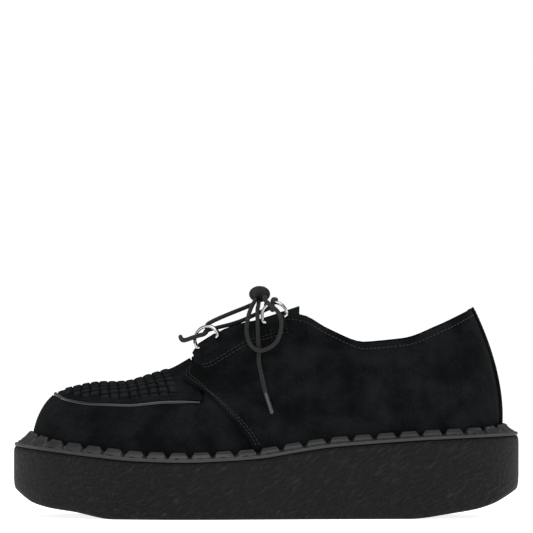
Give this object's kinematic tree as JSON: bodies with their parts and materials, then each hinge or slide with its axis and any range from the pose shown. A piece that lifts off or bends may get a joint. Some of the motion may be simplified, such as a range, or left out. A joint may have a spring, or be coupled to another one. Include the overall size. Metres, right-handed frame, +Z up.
{
  "type": "lace-up suede shoe",
  "caption": "Low suede lace-up shoe on a thick crepe platform sole, with a toothed crown welt, an interlaced apron, wire lace rings and a tied bow.",
  "frame": {"origin": "on the floor, under the middle of the shoe's box", "axes": "+Z up, the toe points to -X, the outer (lateral) side to -Y"},
  "size_m": [0.3, 0.1186, 0.1368],
  "materials": {
    "suede": "black suede with a short nap, fully matt",
    "crepe_rubber": "crinkled crepe rubber, soft sheen",
    "welt_rubber": "smooth moulded rubber, satin",
    "piping_leather": "smooth glossy leather piping",
    "lining_leather": "tan lining leather, satin",
    "ring_steel": "bright nickel wire",
    "lace_cotton": "round braided cotton, matt",
    "aglet_plastic": "smooth glossy sheath"
  },
  "bodies": {
    "root": {"outsole": "crepe_rubber", "crown_welt": "welt_rubber", "upper": "suede", "insole": "lining_leather", "tongue": "suede", "woven_apron": "suede", "apron_piping": "piping_leather", "quarter_lateral": "suede", "quarter_medial": "suede", "heel_strip": "suede", "ring_lateral_front": "ring_steel", "ring_lateral_rear": "ring_steel", "ring_medial_front": "ring_steel", "ring_medial_rear": "ring_steel", "keeper_lateral_front": "suede", "keeper_lateral_rear": "suede", "keeper_medial_front": "suede", "keeper_medial_rear": "suede", "lace_bars": "lace_cotton", "lace_knot": "lace_cotton", "lace_loop_lateral": "lace_cotton", "lace_loop_medial": "lace_cotton", "lace_end_lateral": "lace_cotton", "lace_end_medial": "lace_cotton", "aglet_lateral": "aglet_plastic", "aglet_medial": "aglet_plastic"}
  },
  "joints": []
}
